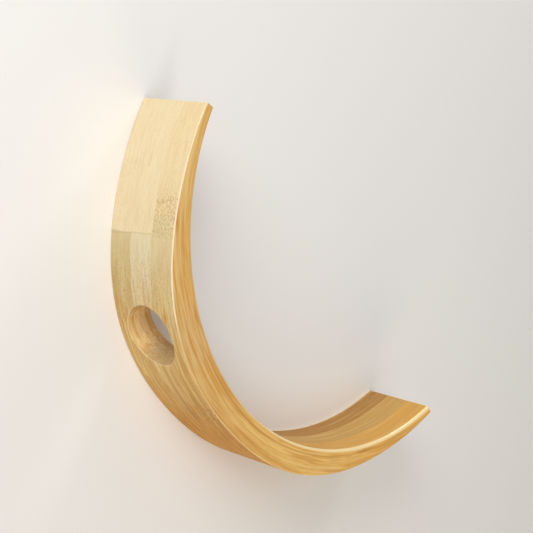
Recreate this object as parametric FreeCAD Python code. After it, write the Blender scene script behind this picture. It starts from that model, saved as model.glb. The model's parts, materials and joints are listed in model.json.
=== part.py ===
"""A balancing holder: one crescent of laminated bamboo with a round hole bored through the curve.

The crescent lies on one of its flat sides, as it comes to rest by itself. X and Y are the plane of the curve,
+Y is up in use, and Z runs across the width. The origin is the middle of the bounding box, on the lower side.
"""

import FreeCAD
import Part

import os
from math import atan2, cos, degrees, hypot, pi, radians, sin, sqrt

# Driving dimensions, in millimetres and degrees. Angles count from the belly, the middle of the crescent
ARC_RADIUS = 154.0        # the inner face is a true arc, and the outer one nearly so
OUTER_LIFT = 0.3          # by which the outer face's mean reach from its centre passes the arc's
SWELL = 1.1               # by which the outer face, sanded by hand, rises and falls about its mean
SWELL_PITCH = 61.0        # degrees from one low place of it to the next, the first at the belly
CENTRES_APART = 18.5      # from the outer face's centre to the inner one's, away from the belly
HALF_SPAN = 76.74         # degrees from the belly to each tip, which is cut off along the ray
HOLE_DIAMETER = 38.0      # bored along the ray from the outer face's centre
HOLE_FROM_BELLY = 25.5    # degrees towards the upper tip
CHEEK = 8.0               # wood left on each side of the hole
LEAN = 42.2               # degrees by which the belly is turned away from straight below the centre, in use
OUTER_EDGE_ROUND = 0.8    # sanded edges of the outer face and of the two tips
UPPER_INNER_ROUND = 0.9   # the inner face's edges at the upper tip
LOWER_INNER_ROUND = 2.8   # and at the lower one. They grow steadily softer on the way down
RIM_ROUND = 0.8           # eased rims of the hole

WIDTH = HOLE_DIAMETER + 2 * CHEEK
OUTER_STEPS = 28          # between the points from tip to tip through which the outer face is drawn
TOLERANCE = 0.005


def direction(angle):
    """Unit vector from the outer face's centre, angle degrees round from the belly towards the upper tip."""
    turn = radians(LEAN + angle)
    return FreeCAD.Vector(-sin(turn), -cos(turn), 0)


def outer_reach(angle):
    """Distance of the outer face from its centre."""
    return ARC_RADIUS + OUTER_LIFT - SWELL * cos(2 * pi * angle / SWELL_PITCH)


def on_outer(angle):
    """Point of the outer face."""
    return direction(angle) * outer_reach(angle)


INNER_CENTRE = direction(0) * -CENTRES_APART


def on_inner(angle):
    """Point of the inner face on the same ray from the outer face's centre."""
    along = CENTRES_APART * cos(radians(angle))
    aside = CENTRES_APART * sin(radians(angle))
    return direction(angle) * (sqrt(ARC_RADIUS**2 - aside**2) - along)


def crescent():
    """The sawn blank: two curves closed by a straight cut at each tip, as thick as the holder is wide."""
    angles = [HALF_SPAN * (2 * step / OUTER_STEPS - 1) for step in range(OUTER_STEPS + 1)]
    swollen = Part.BSplineCurve()
    swollen.interpolate([on_outer(angle) for angle in angles])
    outer = swollen.toShape()
    inner = Part.Arc(on_inner(HALF_SPAN), on_inner(0), on_inner(-HALF_SPAN)).toShape()
    upper_tip = Part.LineSegment(on_outer(HALF_SPAN), on_inner(HALF_SPAN)).toShape()
    lower_tip = Part.LineSegment(on_inner(-HALF_SPAN), on_outer(-HALF_SPAN)).toShape()
    outline = Part.Wire([outer, upper_tip, inner, lower_tip])
    return Part.Face(outline).extrude(FreeCAD.Vector(0, 0, WIDTH))


def drill():
    """What the hole takes out: a cylinder along the ray at the hole, well past both faces."""
    outwards = direction(HOLE_FROM_BELLY)
    start = on_inner(HOLE_FROM_BELLY) - outwards * HOLE_DIAMETER
    start.z = WIDTH / 2
    length = 2 * HOLE_DIAMETER + CENTRES_APART
    return Part.makeCylinder(HOLE_DIAMETER / 2, length, start, outwards)


def near(value, wanted):
    return abs(value - wanted) < TOLERANCE


def angle_of(point):
    """Degrees from the belly to the ray through a point."""
    return degrees(atan2(-point.x, -point.y)) - LEAN


def at_side(point):
    return near(point.z, 0) or near(point.z, WIDTH)


def at_outer_face(point):
    return near(hypot(point.x, point.y), outer_reach(angle_of(point)))


def at_inner_face(point):
    return near(hypot(point.x - INNER_CENTRE.x, point.y - INNER_CENTRE.y), ARC_RADIUS)


def at_tip(point):
    return near(radians(abs(angle_of(point))) * ARC_RADIUS, radians(HALF_SPAN) * ARC_RADIUS)


def at_hole(point):
    """On the wall of the hole."""
    axis = direction(HOLE_FROM_BELLY)
    aside = FreeCAD.Vector(point.x, point.y, 0).cross(axis).Length
    return near(hypot(aside, point.z - WIDTH / 2), HOLE_DIAMETER / 2)


def edges(shape, *tests):
    """Edges of the shape all of whose points pass every test. The point at a round corner's pole is no edge."""
    real = [edge for edge in shape.Edges if not edge.Degenerated]
    return [edge for edge in real if all(test(p) for p in edge.discretize(7) for test in tests)]


def sanded(blank):
    """Rounds the long inner edges first, which run down from the upper tip, then all the others."""
    softened = blank.makeFillet(UPPER_INNER_ROUND, LOWER_INNER_ROUND, edges(blank, at_side, at_inner_face))
    rest = edges(softened, at_side, at_outer_face) + edges(softened, at_tip)
    return softened.makeFillet(OUTER_EDGE_ROUND, rest)


def holder():
    """The finished piece, moved so that the middle of its box is over the origin."""
    body = sanded(crescent()).cut(drill())
    body = body.makeFillet(RIM_ROUND, edges(body, at_hole, at_outer_face) + edges(body, at_hole, at_inner_face))
    box = body.optimalBoundingBox(False, False)
    body.translate(FreeCAD.Vector(-box.Center.x, -box.Center.y, 0))
    return body


os.makedirs("parts", exist_ok=True)
holder().exportStep("parts/crescent_holder.step")
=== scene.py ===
"""A balancing holder of laminated bamboo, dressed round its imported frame.

Places are in metres, in the frame's own axes: the holder lies on its lower side on the floor, +Y is up in
use, and Z runs across its width. The grain is read in millimetres, along the curve, across it and through it.
"""

import json
from math import atan2, cos, pi, radians, sin
from types import SimpleNamespace

import bpy
import numpy as np
from mathutils import Matrix, Vector


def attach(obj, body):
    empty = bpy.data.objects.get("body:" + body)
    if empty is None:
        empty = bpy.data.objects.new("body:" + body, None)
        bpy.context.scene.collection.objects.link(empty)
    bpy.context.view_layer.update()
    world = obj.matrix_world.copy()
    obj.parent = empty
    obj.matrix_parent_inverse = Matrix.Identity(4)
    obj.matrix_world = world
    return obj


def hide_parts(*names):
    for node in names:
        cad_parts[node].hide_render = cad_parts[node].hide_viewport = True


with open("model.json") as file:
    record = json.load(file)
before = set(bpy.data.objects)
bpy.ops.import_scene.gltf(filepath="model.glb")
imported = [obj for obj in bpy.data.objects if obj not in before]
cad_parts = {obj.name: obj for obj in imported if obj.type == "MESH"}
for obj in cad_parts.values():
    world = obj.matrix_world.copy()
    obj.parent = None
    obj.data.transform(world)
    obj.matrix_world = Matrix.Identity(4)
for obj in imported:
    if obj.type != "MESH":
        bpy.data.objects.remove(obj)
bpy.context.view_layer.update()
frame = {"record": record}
scene = bpy.context.scene
scene.view_settings.view_transform = "Standard"


# The blank: strips of bamboo glued side by side into plies, the plies glued face to face in a curved press,
# and the cured block sawn to a crescent. The inner face is an arc. The outer one, sanded by hand, swells and
# sinks a little about an arc of nearly the same radius, whose centre lies further from the belly.

ARC_RADIUS = 0.154
OUTER_LIFT = 0.0003
SWELL = 0.0011
SWELL_PITCH = radians(61)
CENTRES_APART = 0.0185
HALF_SPAN = radians(76.74)
HALF_WIDTH = 0.027
LEAN = radians(42.2)
SEARCH_POINTS = 20001


def outer_reach(angle):
    """Reach of the outer face from its centre: R + lift - swell cos(2 pi a / pitch)."""
    return ARC_RADIUS + OUTER_LIFT - SWELL * np.cos(2 * pi * angle / SWELL_PITCH)


def inner_reach(angle):
    """Reach of the inner face on that ray, with the centres s apart: sqrt(R^2 - (s sin a)^2) - s cos a."""
    aside = CENTRES_APART * np.sin(angle)
    return np.sqrt(ARC_RADIUS**2 - aside**2) - CENTRES_APART * np.cos(angle)


# In use the holder stands on the outer face's lowest line, whose place the frame gives.
standing_line = next(m for m in frame["record"]["mounts"] if m["kind"] == "other")
along_outside = np.linspace(-HALF_SPAN, HALF_SPAN, SEARCH_POINTS)
LOWEST = along_outside[np.argmax(outer_reach(along_outside) * np.cos(LEAN + along_outside))]
UPWARDS = Vector((sin(LEAN + LOWEST), cos(LEAN + LOWEST), 0))
OUTER_CENTRE = Vector(standing_line["pos_m"]) + UPWARDS * float(outer_reach(LOWEST))


def in_place(angle, reach, across):
    """Points at an angle round the outer centre and a reach from it, across from the middle of the width.

    With the outer centre c they are c - reach (sin(lean + a), cos(lean + a)).
    """
    x = OUTER_CENTRE.x - reach * np.sin(LEAN + angle)
    y = OUTER_CENTRE.y - reach * np.cos(LEAN + angle)
    return np.stack(np.broadcast_arrays(x, y, OUTER_CENTRE.z + across), -1)


# The sanded body: a rounded rectangle carried round the curve from the lower tip to the upper one. Its outer
# edges keep a crisp round, the inner ones are sanded ever softer on the way down, and both tips are eased all
# round, so the section draws in as it nears a tip.

OUTER_ROUND = 0.0009
UPPER_INNER_ROUND = 0.0010
LOWER_INNER_ROUND = 0.0028
TIP_ROUND = 0.0007
CORNER_STEPS = 6
TIP_STEPS = 5
SIDE_ROWS = 10
SIDE_MARGIN = 0.06
CELL = 0.0016
EDGE_CELL = 0.0003

# The patch is the stretch of both faces round the bore that the bore's own rings fill.
PATCH_HALF_WIDTH = 0.0230
PATCH_HALF_SPAN = radians(10.5)
PATCH_COLUMNS = 30
PATCH_ROWS = 36
END_POINTS = 2

bore = next(m for m in frame["record"]["mounts"] if m["kind"] == "bore")
BORE_ANGLE = atan2(bore["axis"][0], bore["axis"][1]) - LEAN


def soft_round(angle):
    """Radius of the inner edges, growing evenly from the upper tip to the lower one."""
    way_down = (HALF_SPAN - angle) / (2 * HALF_SPAN)
    return UPPER_INNER_ROUND + (LOWER_INNER_ROUND - UPPER_INNER_ROUND) * way_down


def flat_places(edge):
    """Places across a face whose flat part ends at the edge, with one narrow cell next to each corner."""
    middle = np.linspace(-PATCH_HALF_WIDTH, PATCH_HALF_WIDTH, PATCH_COLUMNS + 1)
    ends = np.concatenate([edge - EDGE_CELL, edge], 1)
    return np.concatenate([-ends[:, ::-1], np.broadcast_to(middle, (len(edge), len(middle))), ends], 1)


def section(angle, inset):
    """Reach and place across of the loop at each angle: outer face, corner, side, corner, inner face, back.

    A corner is a quarter circle about its own centre, of its radius less the inset: centre + r (cos q,
    sin q). The flats lie between the corners, drawn in by the same inset.
    """
    angle, inset = angle[:, None], inset[:, None]
    outer, inner, soft = outer_reach(angle), inner_reach(angle), soft_round(angle)
    quarter = np.linspace(0, pi / 2, CORNER_STEPS + 1)[1:-1]
    outer_flat = flat_places(HALF_WIDTH - OUTER_ROUND + 0 * angle)
    inner_flat = flat_places(HALF_WIDTH - soft)
    steps = np.concatenate([[0], np.linspace(SIDE_MARGIN, 1 - SIDE_MARGIN, SIDE_ROWS - 1), [1]])
    side = outer - OUTER_ROUND + (inner + soft - outer + OUTER_ROUND) * steps
    side_place = HALF_WIDTH - inset + 0 * side
    crisp_reach = outer - OUTER_ROUND + (OUTER_ROUND - inset) * np.cos(quarter)
    crisp_place = HALF_WIDTH - OUTER_ROUND + (OUTER_ROUND - inset) * np.sin(quarter)
    soft_reach = inner + soft - (soft - inset) * np.sin(quarter)
    soft_place = HALF_WIDTH - soft + (soft - inset) * np.cos(quarter)
    half = [(crisp_reach, crisp_place + 0 * outer), (side, side_place), (soft_reach, soft_place)]
    loop = [(outer - inset + 0 * outer_flat, outer_flat), *half]
    loop += [(inner + inset + 0 * inner_flat, -inner_flat)]
    loop += [(reach[:, ::-1], -place[:, ::-1]) for reach, place in reversed(half)]
    return [np.concatenate(parts, 1) for parts in zip(*loop)]


def stations():
    """Angles from tip to tip with their insets, and the station at which the patch starts.

    At an end of rounding r the last stations stand r(1 - sin t) from the end with an inset of r(1 - cos t).
    """
    ease = TIP_ROUND / ARC_RADIUS
    patch = BORE_ANGLE + np.linspace(-PATCH_HALF_SPAN, PATCH_HALF_SPAN, PATCH_ROWS + 1)
    low = np.arange(ease - HALF_SPAN, patch[0] - CELL / ARC_RADIUS / 2, CELL / ARC_RADIUS)
    high = np.linspace(patch[-1], HALF_SPAN - ease, round((HALF_SPAN - patch[-1]) * ARC_RADIUS / CELL))[1:]
    t = np.linspace(0, pi / 2, TIP_STEPS + 1)[1:]
    end = HALF_SPAN - ease * (1 - np.sin(t))
    inset = TIP_ROUND * (1 - np.cos(t))
    plain = np.zeros(len(low) + len(patch) + len(high))
    angle = np.concatenate([-end[::-1], low, patch, high, end])
    return angle, np.concatenate([inset[::-1], plain, inset]), len(t) + len(low)


angles, insets, patch_start = stations()
reaches, places = section(angles, insets)
band = in_place(angles[:, None], reaches, places)
band_ids = np.arange(reaches.size).reshape(reaches.shape)

# Columns of a face: those of the patch, with the points next to the corner at each end.
FACE_POINTS = PATCH_COLUMNS + 1 + 2 * END_POINTS
outer_columns = END_POINTS + np.arange(PATCH_COLUMNS + 1)
inner_columns = FACE_POINTS + 2 * (CORNER_STEPS - 1) + SIDE_ROWS + 1 + outer_columns[::-1]
patch_rows = patch_start + np.arange(PATCH_ROWS + 1)


def band_quads():
    """Quads between neighbouring sections, less those of the two patches."""
    keep = np.ones((len(angles) - 1, reaches.shape[1]), bool)
    keep[patch_rows[0]:patch_rows[-1], outer_columns[0]:outer_columns[-1]] = False
    keep[patch_rows[0]:patch_rows[-1], inner_columns[-1]:inner_columns[0]] = False
    here, there = band_ids[:-1], band_ids[1:]
    return np.stack([here, np.roll(here, -1, 1), np.roll(there, -1, 1), there], -1)[keep]


def tip_cap(row, first_new):
    """The flat end, a grid inside the last loop: new points, and quads that face out at the upper tip.

    Each point is the straight blend of left and right plus that of top and bottom, less that of the corners.
    """
    half = CORNER_STEPS // 2
    across, through = FACE_POINTS - 1 + 2 * half, SIDE_ROWS + 2 * half
    ring = np.roll(band_ids[row], half)
    ids = np.zeros((through + 1, across + 1), int)
    ids[0] = ring[:across + 1]
    ids[:, -1] = ring[across:across + through + 1]
    ids[-1] = ring[across + through:2 * across + through + 1][::-1]
    ids[:, 0] = np.append(ring[2 * across + through:], ring[0])[::-1]
    u = np.linspace(0, 1, across + 1)[None, :, None]
    v = np.linspace(0, 1, through + 1)[:, None, None]
    rim = band.reshape(-1, 3)[ids]
    top, bottom, left, right = rim[:1], rim[-1:], rim[:, :1], rim[:, -1:]
    corners = (1 - v) * ((1 - u) * rim[0, 0] + u * rim[0, -1]) + v * ((1 - u) * rim[-1, 0] + u * rim[-1, -1])
    grid = (1 - v) * top + v * bottom + (1 - u) * left + u * right - corners
    ids[1:-1, 1:-1] = first_new + np.arange((through - 1) * (across - 1)).reshape(through - 1, -1)
    faces = np.stack([ids[:-1, :-1], ids[:-1, 1:], ids[1:, 1:], ids[1:, :-1]], -1).reshape(-1, 4)
    return grid[1:-1, 1:-1].reshape(-1, 3), faces


# The bore, drilled along the ray through the upper arm, with both rims eased by hand. Rings of points run
# from the outer patch's edge to the rim, round the rim, down the wall and out over the inner face.

BORE_RADIUS = bore["dims"]["r_mm"] / 1000
RIM_ROUND = 0.0008
PATCH_RINGS = 6
RIM_STEPS = 5
WALL_RINGS = 9
ROUNDS = 5


def beside_bore(aside, height, across):
    """Points from their place beside the bore's axis, their height along it, and their place across."""
    return in_place(BORE_ANGLE + np.arctan2(aside, height), np.hypot(aside, height), across)


def outer_height(aside):
    """Height of the outer face beside the bore's axis: sqrt(reach^2 - u^2), drawing nearer each round."""
    height = ARC_RADIUS
    for _ in range(ROUNDS):
        height = np.sqrt(outer_reach(BORE_ANGLE + np.arctan2(aside, height))**2 - aside**2)
    return height


def inner_height(aside):
    """The same for the inner face, whose centre is s cos b lower and s sin b further up the curve."""
    beside = CENTRES_APART * sin(BORE_ANGLE)
    return np.sqrt(ARC_RADIUS**2 - (aside - beside)**2) - CENTRES_APART * cos(BORE_ANGLE)


def patch_edge(columns):
    """Vertex numbers once round the edge of the patch on the face with these columns."""
    rows = patch_rows
    return np.concatenate([band_ids[rows[0], columns[:-1]], band_ids[rows[:-1], columns[-1]],
                           band_ids[rows[-1], columns[:0:-1]], band_ids[rows[:0:-1], columns[0]]])


def face_rings(edge, height, inwards):
    """Rings from a patch's edge to the rim circle and round the rim to the wall.

    On the face, ring k is (1 - t) of the edge and t of the circle. Round the rim, of rounding q, a ring has
    radius r + q(1 - sin t) and lies q(1 - cos t) inside the face.
    """
    angle = angles[edge // reaches.shape[1]] - BORE_ANGLE
    aside, across = reaches.flat[edge] * np.sin(angle), places.flat[edge]
    round_bore = np.arctan2(across, aside)
    t = np.linspace(0, 1, PATCH_RINGS + 1)[1:, None]
    rim = BORE_RADIUS + RIM_ROUND
    u = (1 - t) * aside + t * rim * np.cos(round_bore)
    w = (1 - t) * across + t * rim * np.sin(round_bore)
    turn = np.linspace(0, pi / 2, RIM_STEPS + 1)[1:, None]
    radius = BORE_RADIUS + RIM_ROUND * (1 - np.sin(turn))
    sunk = inwards * RIM_ROUND * (1 - np.cos(turn))
    rim_u = radius * np.cos(round_bore)
    u, w = np.concatenate([u, rim_u]), np.concatenate([w, radius * np.sin(round_bore)])
    return u, np.concatenate([height(u[:PATCH_RINGS]), height(rim_u) + sunk]), w


def bore_rings():
    """All rings between the two patch edges, as points: outer face, rim, wall, rim, inner face."""
    outer = face_rings(patch_edge(outer_columns), outer_height, -1)
    inner = [part[::-1] for part in face_rings(patch_edge(inner_columns), inner_height, 1)]
    t = np.linspace(0, 1, WALL_RINGS + 2)[1:-1, None]
    wall = [(1 - t) * out[-1] + t * into[0] for out, into in zip(outer, inner)]
    u, h, w = (np.concatenate(parts) for parts in zip(outer, wall, inner))
    return beside_bore(u, h, w)


def ring_quads(rings):
    """Quads between closed rings of vertex numbers, from the first ring to the last."""
    here, there = rings[:-1], rings[1:]
    faces = np.stack([here, np.roll(here, -1, 1), np.roll(there, -1, 1), there], -1)
    return faces.reshape(-1, 4)


def holder_mesh():
    """Points and quads of the whole piece, without the band's points inside the patches."""
    upper, upper_quads = tip_cap(len(angles) - 1, band_ids.size)
    lower, lower_quads = tip_cap(0, band_ids.size + len(upper))
    bore_points = bore_rings()
    first = band_ids.size + len(upper) + len(lower)
    ring_ids = first + np.arange(bore_points[..., 0].size).reshape(bore_points.shape[:2])
    ring_ids = np.concatenate([patch_edge(outer_columns)[None], ring_ids, patch_edge(inner_columns)[None]])
    points = np.concatenate([band.reshape(-1, 3), upper, lower, bore_points.reshape(-1, 3)])
    faces = np.concatenate([band_quads(), upper_quads, lower_quads[:, ::-1], ring_quads(ring_ids)])
    used, faces = np.unique(faces, return_inverse=True)
    return points[used], faces.reshape(-1, 4)


def add_mesh(name, points, faces):
    """A smooth-shaded object with its place in its mesh."""
    mesh = bpy.data.meshes.new(name)
    mesh.from_pydata(points.tolist(), [], faces.tolist())
    mesh.polygons.foreach_set("use_smooth", np.ones(len(faces), bool))
    mesh.update()
    added = bpy.data.objects.new(name, mesh)
    scene.collection.objects.link(added)
    return added


holder = add_mesh("bamboo_crescent", *holder_mesh())
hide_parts("crescent_holder")
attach(holder, "root")


# The bamboo itself. A strip is split from the cane's wall, so it is all fibres running its own length, with
# a knuckle across it every hand's length where the cane was jointed. Three strips lie side by side in a ply
# and four plies make the belly. The outer face slants through the plies, which feather out on it.

MILLIMETRES = 1000.0
PLY = 4.37
PLY_WAVE = 0.06
LAST_PLY = 3
STRIP = 18.0
STRIPS_ACROSS = 3
GRAIN_APART = 31
KNUCKLE_SPACING = 220.0
KNUCKLE_SLANT = -0.09
KNUCKLE_BOW = 1.6
CURL_LINES = 6
TINT_CORE = 4
FIBRE_HEIGHT = 0.00006
LACQUER_ROUGHNESS = 0.22

CREAM = (0.81, 0.68, 0.435)
PALE_OLIVE = (0.71, 0.63, 0.42)
KHAKI = (0.64, 0.53, 0.285)
OLIVE = (0.58, 0.48, 0.25)
STRAW = (0.76, 0.57, 0.28)
WHEAT = (0.70, 0.51, 0.205)
GOLDEN = (0.76, 0.46, 0.135)
HONEY = (0.95, 0.60, 0.18)
MARIGOLD = (0.97, 0.45, 0.07)
AMBER = (0.59, 0.28, 0.047)
GINGER = (0.68, 0.37, 0.09)
CARAMEL = (0.56, 0.34, 0.11)
TAN = (0.55, 0.29, 0.08)
BROWN = (0.40, 0.20, 0.06)

# Tones of single fibres and marks in the wood. The belly's are darker as painted shade, and the last three
# are painted highlights of the eased edges.
PALE_FIBRE = (0.86, 0.64, 0.28)
BELLY_SHADE_PALE_FIBRE = (0.77, 0.46, 0.11)
BELLY_SHADE_DARK_FIBRE = (0.39, 0.185, 0.04)
SIDE_DARK_FIBRE = (0.60, 0.275, 0.05)
SIDE_STREAK = (0.58, 0.25, 0.045)
SPECK = (0.44, 0.31, 0.115)
CURL = (0.47, 0.32, 0.12)
BELLY_SHADE_CURL = (0.27, 0.14, 0.04)
STAIN = (0.62, 0.27, 0.05)
BLOTCH = (0.55, 0.23, 0.045)
KNUCKLE_LINE = (0.42, 0.31, 0.15)
GLUE = (0.46, 0.22, 0.06)
CUT_END = (0.38, 0.27, 0.14)
# Painted highlights of the eased edges: the inner ones, and the outer ones low and high up the curve.
INNER_EDGE_HIGHLIGHT = (0.95, 0.75, 0.38)
LOWER_OUTER_EDGE_HIGHLIGHT = (0.94, 0.76, 0.46)
UPPER_OUTER_EDGE_HIGHLIGHT = (0.96, 0.84, 0.66)

# Tone of each strip, the place of one knuckle, in millimetres up the curve from the belly's middle, and how
# far the fibres curl there instead of ending in a plain line. Plies run from the inner face outwards, and
# the strips of a ply from the lower side to the upper one.
STRIPS = [
    (BROWN, 30, 0.2), (CARAMEL, 0, 0.2), (GINGER, 86, 0.3),
    (CREAM, 10, 0.3), (CREAM, 0, 0.3), (STRAW, 0, 0.3),
    (CREAM, 129, 0.0), (CREAM, 129, 0.0), (STRAW, 139, 1.0),
    (OLIVE, 129, 0.0), (PALE_OLIVE, 129, 0.0), (KHAKI, 14, 0.9),
]

# Amber stains on the outer face, and spots of curled fibres away from the knuckles: place along and across,
# then length and width. Amber streaks on the upper side: place along and depth, then length and thickness.
# Tints of both sides: place along, the reach over which they fade, share in the middle, and tone. The
# marigold one at the lower tip is painted warm light thrown up from below.
STAINS = [(84, 18, 10, 5), (87, -24, 8, 4), (14, 7, 13, 7), (-14, 20, 12, 6)]
CURLS = [(10, 2, 22, 13), (38, 22, 11, 8)]
STREAKS = [(68, 11.5, 36, 2.2), (81, 3.1, 14, 2.4), (33, 11.8, 24, 3.2), (-14, 13.0, 44, 2.4),
           (-137, 3.2, 18, 1.8)]
SIDE_TINTS_AND_WARM_LIGHT = [(66, 34, 0.24, CREAM), (24, 22, 0.20, AMBER), (-204, 100, 0.42, MARIGOLD)]


class Wiring:
    """Adds nodes to a tree. A method gives an output, and takes numbers, colours or outputs as values."""

    def __init__(self, tree):
        self.tree = tree

    def node(self, kind, values, output=0, **settings):
        made = self.tree.nodes.new("ShaderNode" + kind)
        for name, setting in settings.items():
            setattr(made, name, setting)
        for socket, value in values.items():
            if isinstance(value, bpy.types.NodeSocket):
                self.tree.links.new(value, made.inputs[socket])
            else:
                made.inputs[socket].default_value = value
        return made.outputs[output]

    def math(self, operation, *values):
        return self.node("Math", dict(enumerate(values)), operation=operation)

    def times(self, *values):
        """All the values multiplied together."""
        product = values[0]
        for value in values[1:]:
            product = self.math("MULTIPLY", product, value)
        return product

    def without(self, share):
        """What a share leaves of 1."""
        return self.math("SUBTRACT", 1.0, share)

    def between(self, first, second):
        """Distance between two values."""
        return self.math("ABSOLUTE", self.math("SUBTRACT", first, second))

    def held(self, value, least, most):
        """The value, kept from the least to the most."""
        return self.math("MINIMUM", self.math("MAXIMUM", value, least), most)

    def vector(self, operation, *values):
        output = "Value" if operation in ("LENGTH", "DOT_PRODUCT") else "Vector"
        return self.node("VectorMath", dict(enumerate(values)), output, operation=operation)

    def join(self, x, y, z):
        return self.node("CombineXYZ", {0: x, 1: y, 2: z})

    def split(self, value):
        self.node("SeparateXYZ", {0: value})
        return self.tree.nodes[-1].outputs[:3]

    def noise(self, where, detail=2.0, roughness=0.5, distortion=0.0, output=0):
        """Noise from 0 to 1. Output 1 gives three such noises, as a colour."""
        values = {"Vector": where, "Scale": 1.0, "Detail": detail, "Roughness": roughness,
                  "Distortion": distortion}
        return self.node("TexNoise", values, output)

    def fade(self, value, start, end, low=0.0, high=1.0):
        """Smoothly from low at the start to high at the end: low + (high - low) t^2 (3 - 2 t)."""
        values = {0: value, 1: start, 2: end, 3: low, 4: high}
        return self.node("MapRange", values, interpolation_type="SMOOTHSTEP")

    def dimmed(self, share, least):
        """1 where the share is 0, sinking to the least where it is 1."""
        return self.fade(share, 0.0, 1.0, 1.0, least)

    def mix(self, share, first, second):
        """The first colour at a share of 0, and the second at 1."""
        first, second = ((*tone, 1) if isinstance(tone, tuple) else tone for tone in (first, second))
        return self.node("Mix", {0: share, 6: first, 7: second}, 2, data_type="RGBA")

    def layers(self, colour, coats):
        """The colour with the tone of each coat mixed in by its share, one after the other."""
        for share, tone in coats:
            colour = self.mix(share, colour, tone)
        return colour

    def steps(self, value, colours):
        """One of the colours, by whole numbers from nought."""
        picked = self.node("ValToRGB", {0: self.math("DIVIDE", self.math("ADD", value, 0.5), len(colours))})
        ramp = self.tree.nodes[-1].color_ramp
        ramp.interpolation = "CONSTANT"
        while len(ramp.elements) < len(colours):
            ramp.elements.new(1.0)
        for place, (element, colour) in enumerate(zip(ramp.elements, colours)):
            element.position = place / len(colours)
            element.color = (*colour, 1)
        return picked


def grain_places(w):
    """Where a point lies in the grain, in millimetres, and how the surface lies to it there.

    Along is the angle round the outer centre times the radius, and across is from the middle of the width.
    Deep is the distance from the inner centre less the radius, so plies and fibres follow the inner face.
    The rest are shares from 0 to 1: on a side by the size of the normal's Z, cut across by the size of its
    cross product with the ray from the outer centre, and at an eased edge by the size of their dot product.
    """
    place, normal = w.node("TexCoord", {}, "Object"), w.node("TexCoord", {}, "Normal")
    from_centre = w.vector("SUBTRACT", place, OUTER_CENTRE)
    x, y, z = w.split(from_centre)
    turn = w.math("ARCTAN2", w.times(x, -1), w.times(y, -1))
    inner_centre = OUTER_CENTRE + CENTRES_APART * Vector((sin(LEAN), cos(LEAN), 0))
    flat = w.vector("MULTIPLY", w.vector("SUBTRACT", place, inner_centre), (1, 1, 0))
    deep = w.times(w.math("SUBTRACT", w.vector("LENGTH", flat), ARC_RADIUS), MILLIMETRES)
    ray = w.vector("NORMALIZE", w.vector("MULTIPLY", from_centre, (1, 1, 0)))
    facing = w.math("ABSOLUTE", w.vector("DOT_PRODUCT", ray, normal))
    crossing = w.math("ABSOLUTE", w.split(w.vector("CROSS_PRODUCT", ray, normal))[2])
    on_side = w.fade(w.math("ABSOLUTE", w.split(normal)[2]), 0.35, 0.85)
    on_face = w.without(on_side)
    return SimpleNamespace(
        along=w.times(w.math("SUBTRACT", turn, LEAN), ARC_RADIUS * MILLIMETRES),
        across=w.times(z, MILLIMETRES),
        deep=deep,
        on_side=on_side,
        on_face=on_face,
        outer_face=w.times(on_face, w.fade(deep, 2, 5)),
        cut_across=w.fade(crossing, 0.45, 0.95),
        at_edge=w.times(w.fade(facing, 0.10, 0.45), w.fade(facing, 0.985, 0.90)))


def strip_there(w, at):
    """The strip that a point lies in, with plies of even thickness and strips milled straight.

    The ply is the whole part of deep / thickness, and the strip that of across / width + 3 / 2. Both are
    held within the block, and the strip's number in the list is 3 ply + strip. Glue lines wave a little.
    """
    wavy = w.noise(w.join(w.math("DIVIDE", at.along, 25), w.math("DIVIDE", at.across, 9), 0))
    wave = w.math("MULTIPLY_ADD", wavy, PLY_WAVE, -PLY_WAVE / 2)
    ply_place = w.math("MULTIPLY_ADD", at.deep, 1 / PLY, wave)
    ply = w.held(w.math("FLOOR", ply_place), 0, LAST_PLY)
    next_ply = w.math("MINIMUM", w.math("ADD", ply, 1), LAST_PLY)
    strip = w.math("FLOOR", w.math("MULTIPLY_ADD", at.across, 1 / STRIP, STRIPS_ACROSS / 2))
    strip = w.held(strip, 0, STRIPS_ACROSS - 1)
    number = w.math("MULTIPLY_ADD", ply, STRIPS_ACROSS, strip)
    tones = [tone for tone, _, _ in STRIPS]
    return SimpleNamespace(
        ply_place=ply_place,
        number=number,
        tone=w.steps(number, tones),
        next_tone=w.steps(w.math("MULTIPLY_ADD", next_ply, STRIPS_ACROSS, strip), tones),
        knuckle=w.steps(number, [(place / KNUCKLE_SPACING,) * 3 for _, place, _ in STRIPS]),
        curly=w.steps(number, [(share,) * 3 for _, _, share in STRIPS]))


def lumps(w, grain, lengths, *settings):
    """Noise whose lumps have these lengths along, across and through the grain."""
    return w.noise(w.vector("MULTIPLY", grain, tuple(1 / length for length in lengths)), *settings)


def fibres(w, at, strip):
    """Noise drawn out along the grain, at four scales, and the grain's own coordinates.

    Fibres wander slowly and are another strip's own beyond each glue line, because a strip's number times a
    distance moves its grain away from its neighbour's.
    """
    slow = w.noise(w.join(w.math("DIVIDE", at.along, 60), w.math("DIVIDE", at.across, 14), strip.number),
                   output=1)
    drift = w.vector("MULTIPLY", w.vector("SUBTRACT", slow, (0.5, 0.5, 0.5)), (0, 5, 3))
    through = w.math("MULTIPLY_ADD", strip.number, GRAIN_APART, at.deep)
    grain = w.vector("ADD", w.join(at.along, at.across, through), drift)
    return SimpleNamespace(
        grain=grain,
        fine=lumps(w, grain, (22, 1.1, 1.2), 2, 0.55),
        streak=lumps(w, grain, (65, 2.0, 2.3), 3, 0.6),
        broad=lumps(w, grain, (110, 7, 3.5), 2),
        fleck=lumps(w, grain, (1.3, 1.0, 1.0), 2, 0.6, 0.3))


def within(w, x, y, ovals):
    """How far a place lies inside any of the ovals, from 0 just outside the rim to 1 near the middle."""
    inside = 0.0
    for middle_x, middle_y, length, width in ovals:
        off = w.join(w.math("MULTIPLY_ADD", x, 2 / length, -2 * middle_x / length),
                     w.math("MULTIPLY_ADD", y, 2 / width, -2 * middle_y / width), 0)
        inside = w.math("MAXIMUM", inside, w.fade(w.vector("LENGTH", off), 1.3, 0.2))
    return inside


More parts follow.
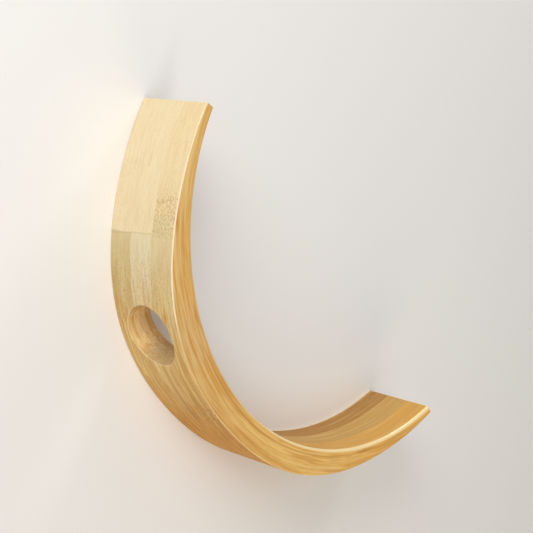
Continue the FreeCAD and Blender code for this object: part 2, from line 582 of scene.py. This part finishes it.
def knuckles(w, at, strip, fibre):
    """A knuckle, a little askew: a thin line or curled fibres on a face, and a stained blotch on a side.

    The curls are the level lines of a soft noise. Below a knuckle on the outer face the next ply shows.
    """
    askew = w.math("MULTIPLY_ADD", at.across, KNUCKLE_SLANT, at.along)
    from_knuckle = w.math("SUBTRACT", askew, w.times(strip.knuckle, KNUCKLE_SPACING))
    bow = w.noise(w.join(w.math("DIVIDE", at.across, 7), w.math("DIVIDE", at.deep, 2), strip.number), 2)
    away = w.math("ADD", w.math("WRAP", from_knuckle, KNUCKLE_SPACING / 2, -KNUCKLE_SPACING / 2),
                  w.math("MULTIPLY_ADD", bow, KNUCKLE_BOW, -KNUCKLE_BOW / 2))
    apart = w.math("ABSOLUTE", away)
    waves = lumps(w, fibre.grain, (5.2, 3.9, 3.9), 2, 0.4)
    rings = w.math("PINGPONG", w.times(waves, CURL_LINES), 0.5)
    curly_there = w.math("MAXIMUM", w.times(w.fade(apart, 20, 6), strip.curly, at.on_face),
                         w.times(within(w, at.along, at.across, CURLS), at.outer_face))
    return SimpleNamespace(
        curl=w.times(w.fade(rings, 0.20, 0.50), curly_there),
        line=w.times(w.fade(apart, 0.7, 0.1), at.on_face, w.without(strip.curly)),
        blotch=w.times(w.fade(apart, 11.0, 1.0), w.fade(fibre.streak, 0.38, 0.58), at.on_side),
        below=w.times(w.fade(away, 0.3, -0.3), w.fade(away, -45, -10), at.on_face, w.fade(at.deep, 6, 10)))


def glue_lines(w, at, strip, fibre):
    """Seams between strips, and glue between plies, strongest next to the innermost ply.

    A ply feathers out on a face with next to no line, so the glue shows on the sides alone.
    """
    nearest = w.held(w.math("ROUND", strip.ply_place), 1, LAST_PLY)
    from_glue = w.times(w.between(strip.ply_place, nearest), PLY)
    innermost = w.math("LESS_THAN", strip.ply_place, 1.5)
    return SimpleNamespace(
        seam=w.fade(w.between(w.math("ABSOLUTE", at.across), STRIP / 2), 0.40, 0.05),
        glue=w.times(w.fade(from_glue, 0.55, 0.10), w.math("MULTIPLY_ADD", innermost, 0.80, 0.20),
                     w.fade(fibre.broad, 0.25, 0.55, 0.4, 1.0), at.on_side,
                     w.fade(at.along, 120, 30, 0.2, 1.0), w.fade(at.along, -60, -120, 1.0, 0.45)))


def wood_colour(w, at, strip, fibre, knuckle, joint):
    """The strips' own tones under the lacquer, then fibres, then marks.

    The grain is calm on the upper arm's faces and on the inner one, and livelier at the belly and the sides.
    The outer face is paler towards the upper tip, partly the cane's pale outer wood and partly painted sheen
    of light from above. It is darker and warmer at the belly, as painted shade and warm light from below. The
    sawn sides take up more lacquer, and their honey, deeper towards the lower tip, is partly painted warm
    light.
    """
    stilled = w.math("MAXIMUM", w.fade(at.along, 60, 130, 0.0, 0.84), w.fade(at.deep, 5, 2, 0.0, 0.60))
    calm = w.without(w.times(at.on_face, stilled))
    # Paler towards the upper tip: partly the cane's pale outer wood, partly a painted sheen of light from
    # above.
    pale_and_sheen = w.times(w.fade(at.along, 95, 165, 0.0, 0.70), w.fade(at.deep, 2, 8, 0.25, 1.0),
                   w.dimmed(at.on_side, 0.35))
    mottled = w.times(at.outer_face, w.fade(at.along, 50, 80, 0.2, 1.0),
                      w.fade(at.along, 124, 104, 0.24, 1.0))
    # Painted shade and warm reflected light at the belly: amber there, with darker fibres and curls.
    belly_shade = w.times(at.outer_face, w.fade(at.along, 52, -18), w.fade(at.along, -60, -130, 1.0, 0.3))
    stained = w.times(within(w, at.along, at.across, STAINS), at.outer_face,
                      w.fade(w.math("ADD", fibre.streak, fibre.fleck), 0.80, 1.10))
    streaked = w.times(within(w, at.along, at.deep, STREAKS), at.on_side,
                       w.math("GREATER_THAN", at.across, 0), w.fade(fibre.fine, 0.40, 0.52, 0.3, 1.0))
    # Below the upper arm the outer face turns wheat, darker towards the belly: partly the wood's tone, partly
    # painted shade.
    colour = w.layers(w.mix(knuckle.below, strip.tone, strip.next_tone), [
        (w.times(at.outer_face, w.fade(at.along, 112, 50, 0.0, 0.7)), WHEAT),
        (w.times(belly_shade, 0.92), AMBER),
        (pale_and_sheen, CREAM),
        (w.times(at.on_side, 0.72), GOLDEN),
        # Honey on the sides, deeper towards the lower tip: partly the wood's tone, partly painted warm light
        # from below.
        (w.times(at.on_side, w.fade(at.along, 60, -90, 0.0, 0.75)), HONEY),
    ])
    # The marigold tint at the lower tip is painted warm light thrown up from below.
    for place, reach, share, tone in SIDE_TINTS_AND_WARM_LIGHT:
        tint = w.fade(w.between(at.along, place), reach, TINT_CORE, 0.0, share)
        colour = w.mix(w.times(at.on_side, tint), colour, tone)
    pale_fibre = w.mix(belly_shade, PALE_FIBRE, BELLY_SHADE_PALE_FIBRE)
    dark_fibre = w.mix(at.on_side, w.mix(belly_shade, TAN, BELLY_SHADE_DARK_FIBRE), SIDE_DARK_FIBRE)
    return w.layers(colour, [
        (w.times(w.fade(fibre.broad, 0.38, 0.62, 0.0, 0.28), calm), AMBER),
        (w.times(w.fade(fibre.streak, 0.50, 0.60, 0.0, 0.52), calm), dark_fibre),
        (w.times(w.fade(fibre.streak, 0.48, 0.37, 0.0, 0.52), calm, w.dimmed(at.on_side, 0.6)), pale_fibre),
        (w.times(w.fade(fibre.fine, 0.51, 0.58, 0.0, 0.62), calm, w.dimmed(at.on_side, 0.45)), dark_fibre),
        (w.times(w.fade(fibre.fleck, 0.54, 0.64), mottled, 0.50), SPECK),
        (w.times(knuckle.curl, w.fade(belly_shade, 0.0, 0.5, 0.60, 0.85)), w.mix(belly_shade, CURL, BELLY_SHADE_CURL)),
        (w.times(stained, 0.70), STAIN),
        (w.times(knuckle.blotch, 0.55), BLOTCH),
        (w.times(streaked, 0.60), SIDE_STREAK),
        (w.times(knuckle.line, 0.26), KNUCKLE_LINE),
        (w.times(joint.seam, 0.08), BROWN),
        (w.times(joint.glue, 0.75), GLUE),
        (w.times(at.cut_across, 0.60), CUT_END),
    ])


def painted_edge_highlights(w, at, colour):
    """The colour with painted highlights on the eased edges, most of all on the lower arm's soft ones.

    The painted highlights are dimmer on the bore's rim, and on the long outer edges beside it.
    """
    aside = w.math("ABSOLUTE", at.across)
    rim = w.times(w.fade(aside, 25, 22), w.fade(at.along, 125, 100), w.fade(at.along, 10, 35))
    cheek = w.times(w.fade(aside, 22, 25), w.fade(at.along, 90, 72), w.fade(at.along, 15, 38))
    # Painted highlights: broad on the lower arm's soft inner edge, thin along the outer edges.
    inner = w.times(at.at_edge, w.fade(at.deep, 3.4, 2.0), w.fade(at.along, 70, -70, 0.30, 0.85))
    outer = w.times(at.at_edge, w.fade(at.deep, 2.0, 3.4), w.fade(at.along, 20, 100, 0.28, 0.66),
                    w.fade(at.along, 195, 150, 0.35, 1.0), w.dimmed(rim, 0.45), w.dimmed(cheek, 0.25))
    outer_highlight_tone = w.mix(w.fade(at.along, 40, 110), LOWER_OUTER_EDGE_HIGHLIGHT, UPPER_OUTER_EDGE_HIGHLIGHT)
    return w.layers(colour, [(inner, INNER_EDGE_HIGHLIGHT), (outer, outer_highlight_tone)])


def bamboo():
    """Lacquered laminated bamboo, worked out from the place in the grain. Fibres stand a little proud."""
    material = bpy.data.materials.new("lacquered_bamboo")
    material.use_nodes = True
    shader = material.node_tree.nodes["Principled BSDF"]
    w = Wiring(material.node_tree)
    at = grain_places(w)
    strip = strip_there(w, at)
    fibre = fibres(w, at, strip)
    knuckle = knuckles(w, at, strip, fibre)
    joint = glue_lines(w, at, strip, fibre)
    # The wood's colour, with painted highlights on the eased edges.
    colour = painted_edge_highlights(w, at, wood_colour(w, at, strip, fibre, knuckle, joint))
    height = w.math("MULTIPLY_ADD", fibre.fine, 0.3, w.times(knuckle.line, -0.5))
    height = w.math("MULTIPLY_ADD", w.math("MAXIMUM", joint.seam, joint.glue), -0.2, height)
    bump = w.node("Bump", {"Strength": 0.5, "Distance": FIBRE_HEIGHT, "Height": height})
    w.tree.links.new(colour, shader.inputs["Base Color"])
    w.tree.links.new(w.fade(fibre.fine, 0.3, 0.7, 0.34, 0.44), shader.inputs["Roughness"])
    w.tree.links.new(bump, shader.inputs["Normal"])
    w.tree.links.new(w.fade(at.at_edge, 0.0, 1.0, 0.22, 1.0), shader.inputs["Coat Weight"])
    shader.inputs["Coat Roughness"].default_value = LACQUER_ROUGHNESS
    shader.inputs["Specular IOR Level"].default_value = 0.0
    return material


holder.data.materials.append(bamboo())


# The floor, a plain pale sheet that keeps the holder's shadow. Beyond the lamps' reach it shows the same pale
# tone as the backdrop behind it, to the eye alone, so that neither adds light to the holder.

BACKDROP = (0.88, 0.87, 0.85, 1)
FLOOR_TONE = (0.90, 0.885, 0.86, 1)
FLOOR_HALF = 6.0
LIT_REACH = 0.45
BACKDROP_REACH = 1.3


def seen(w):
    """1 for what is looked at straight, in a gloss or through glass, and 0 for what only gives light."""
    camera, glossy, through = (w.node("LightPath", {}, f"Is {kind} Ray")
                               for kind in ("Camera", "Glossy", "Transmission"))
    return w.math("MAXIMUM", w.math("MAXIMUM", camera, glossy), through)


def pale_floor():
    """The sheet, whose shade turns to the backdrop's with the distance from its middle."""
    corners = FLOOR_HALF * np.array([(-1, -1, 0), (1, -1, 0), (1, 1, 0), (-1, 1, 0)])
    floor = add_mesh("floor", corners, np.array([[0, 1, 2, 3]]))
    material = bpy.data.materials.new("pale_floor")
    material.use_nodes = True
    nodes, w = material.node_tree.nodes, Wiring(material.node_tree)
    shader = nodes["Principled BSDF"]
    shader.inputs["Base Color"].default_value = FLOOR_TONE
    shader.inputs["Roughness"].default_value = 0.8
    shader.inputs["Specular IOR Level"].default_value = 0.2
    far = w.fade(w.vector("LENGTH", w.node("TexCoord", {}, "Object")), LIT_REACH, BACKDROP_REACH)
    plain = w.node("Emission", {"Color": BACKDROP})
    shown = w.node("MixShader", {0: w.times(far, seen(w)), 1: shader.outputs["BSDF"], 2: plain})
    w.tree.links.new(shown, nodes["Material Output"].inputs["Surface"])
    floor.data.materials.append(material)


pale_floor()


# Light: a plain even sky, a large soft key from the left and above, and three lamps besides. A tall one
# beside the camera draws the near outer edge, and one high on the right the soft edge of the lower arm. A
# weak warm one stands for light thrown back by what the holder stands on in use.

AIM = Vector((0, 0, HALF_WIDTH))
WHITE = (1, 1, 1)
WARM = (1, 0.78, 0.50)
LAMP_DISTANCE = 1.2
SKY_STRENGTH = 0.30


def lamp(name, direction, size, share, colour=WHITE):
    """A soft lamp of a width and a height, in a direction from the holder's middle.

    Its share is what it adds to a white surface that faces it squarely: power = pi^2 share distance^2.
    """
    light = bpy.data.lights.new(name, "AREA")
    light.shape = "RECTANGLE"
    light.size, light.size_y = size
    light.color = colour
    light.energy = pi**2 * share * LAMP_DISTANCE**2
    added = bpy.data.objects.new(name, light)
    back = Vector(direction).normalized()
    right = Vector((0, 1, 0)).cross(back).normalized()
    added.matrix_world = (Matrix.Translation(AIM + back * LAMP_DISTANCE)
                          @ Matrix((right, back.cross(right), back)).transposed().to_4x4())
    scene.collection.objects.link(added)


lamp("key", (-0.66, 0.62, 0.43), (0.6, 0.6), 0.50)
lamp("edge_strip", (-0.42, -0.08, 0.90), (0.14, 1.3), 0.30)
lamp("high_right", (0.48, 0.83, 0.29), (0.3, 0.3), 0.20)
lamp("low_warm", (-0.18, -0.92, 0.34), (0.8, 0.8), 0.30, WARM)

world = bpy.data.worlds.new("even_sky")
world.use_nodes = True
scene.world = world
w = Wiring(world.node_tree)
backdrop = w.node("Background", {"Color": BACKDROP})
sky = w.node("Background", {"Color": (*WHITE, 1), "Strength": SKY_STRENGTH})
shown = w.node("MixShader", {0: seen(w), 1: sky, 2: backdrop})
w.tree.links.new(shown, w.tree.nodes["World Output"].inputs["Surface"])


# The camera looks at the holder's outer face and upper side, from a little above level as it stands in use.
# The figures are for a square picture, and the aim is counted from the outer centre, right and down in it.

SENSOR_WIDTH = 36.0
FOCAL_LENGTH = 85.946
CAMERA_DISTANCE = 0.8118
CAMERA_TURN = radians(45.233)
CAMERA_RISE = radians(7.72)
CAMERA_ROLL = radians(-3.763)
AIM_RIGHT = -0.04006
AIM_DOWN = 0.02554


def place_camera():
    """The aim lies beside and below the outer centre in the picture, and the camera stands back from it."""
    level_reach = cos(CAMERA_RISE)
    back = Vector((-sin(CAMERA_TURN) * level_reach, sin(CAMERA_RISE), cos(CAMERA_TURN) * level_reach))
    level = (-back).cross(Vector((0, 1, 0))).normalized()
    plumb = (-back).cross(level)
    right = cos(CAMERA_ROLL) * level + sin(CAMERA_ROLL) * plumb
    down = cos(CAMERA_ROLL) * plumb - sin(CAMERA_ROLL) * level
    camera = bpy.data.objects.new("camera", bpy.data.cameras.new("camera"))
    camera.data.sensor_width = SENSOR_WIDTH
    camera.data.lens = FOCAL_LENGTH
    place = OUTER_CENTRE + AIM_RIGHT * right + AIM_DOWN * down + CAMERA_DISTANCE * back
    camera.matrix_world = Matrix.Translation(place) @ Matrix((right, -down, back)).transposed().to_4x4()
    scene.collection.objects.link(camera)
    scene.camera = camera


place_camera()
